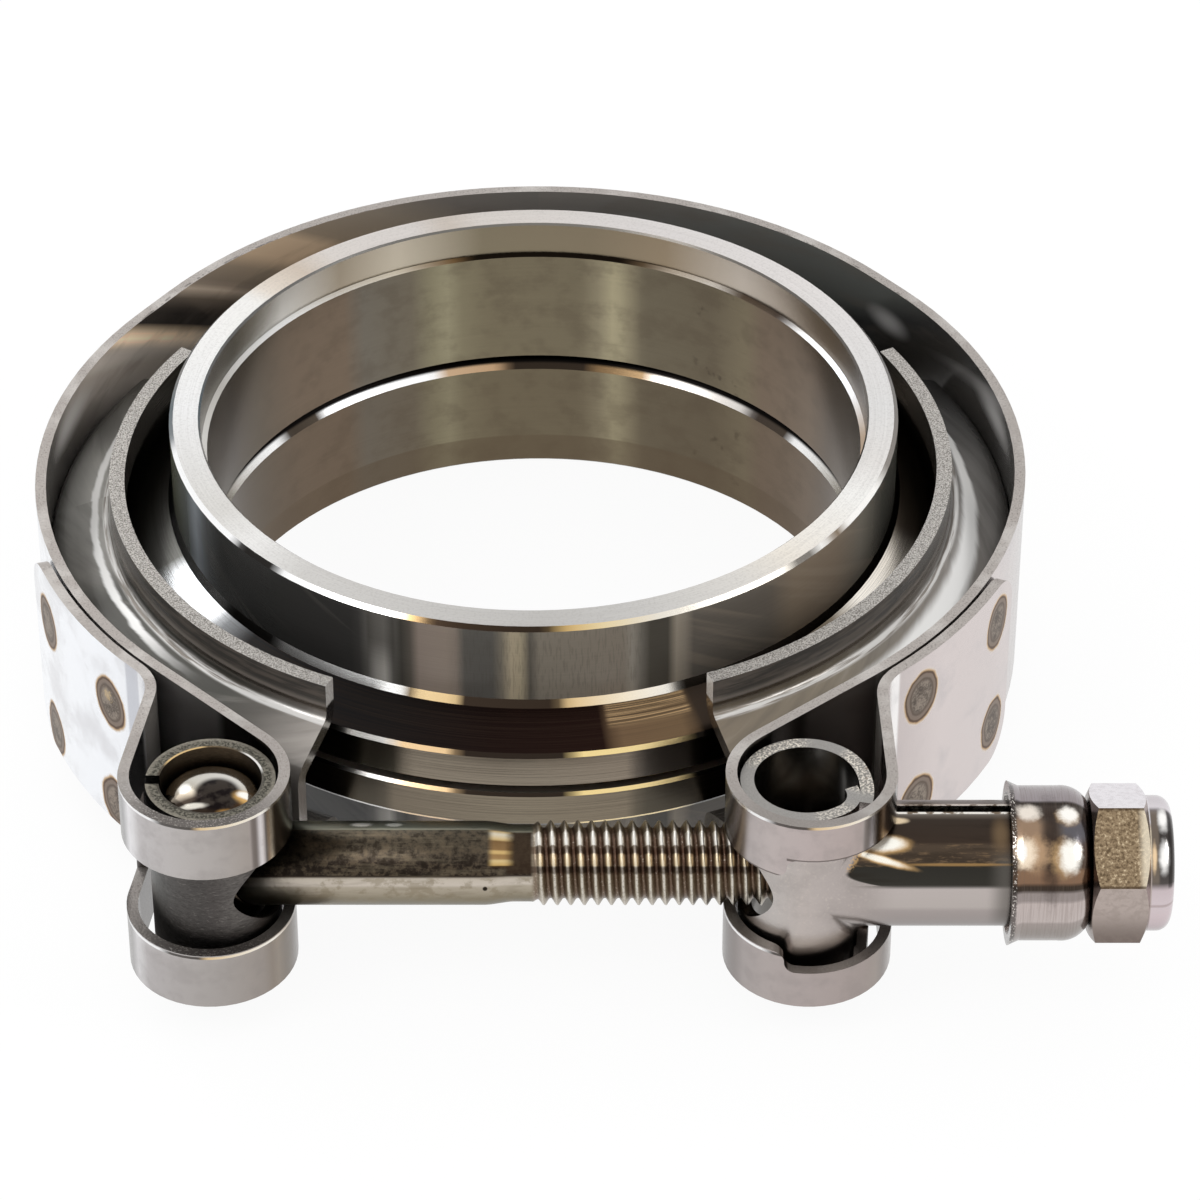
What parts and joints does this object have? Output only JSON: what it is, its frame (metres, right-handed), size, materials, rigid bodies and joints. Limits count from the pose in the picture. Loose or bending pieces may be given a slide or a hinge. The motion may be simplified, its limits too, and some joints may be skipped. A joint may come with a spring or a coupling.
{
  "type": "v band clamp",
  "caption": "V-band clamp holding a pair of pipe flanges: sprung strap with V retainers, looped ends, T-bolt, tube trunnion, ferrule and lock nut.",
  "frame": {"origin": "on the pipe axis, in the middle of the joint between the two flanges", "axes": "+Z along the pipe axis, up out of the flange with the spigot; +X along the bolt, towards its nut; -Y to the bolt side, the front of the clamp"},
  "size_m": [0.1078, 0.1061, 0.0301],
  "materials": {
    "flange": "turned stainless steel, satin end faces",
    "strap": "bright rolled stainless strip with spot welds",
    "retainer": "formed stainless strip, bright, dark inside",
    "trunnion": "formed stainless strip, lightly scratched",
    "bolt": "formed stainless steel, rolled thread",
    "ferrule": "pressed and polished stainless cap",
    "nut": "stainless steel nut with a smooth collar",
    "insert": "natural nylon locking ring"
  },
  "bodies": {
    "clamp": {"upper_flange": "flange", "lower_flange": "flange", "strap": "strap", "left_retainer": "retainer", "right_retainer": "retainer", "back_retainer": "retainer", "left_trunnion": "trunnion", "t_bolt": "bolt", "right_trunnion": "trunnion"},
    "ferrule": {"ferrule_cap": "ferrule"},
    "nut": {"lock_nut": "nut", "nut_insert": "insert"}
  },
  "joints": [
    {"name": "nut_travel", "type": "slide", "parent": "clamp", "child": "ferrule", "axis": [1, 0, 0], "range_m": [0, 0.0071]},
    {"name": "nut_turn", "type": "hinge", "parent": "ferrule", "child": "nut", "pos_m": [0.055, -0.0514, 0], "axis": [1, 0, 0], "range_deg": [0, 2016]}
  ],
  "couplings": [
    {"joint": "nut_travel", "follows": "nut_turn", "m_per_rad": 0.00019894}
  ]
}
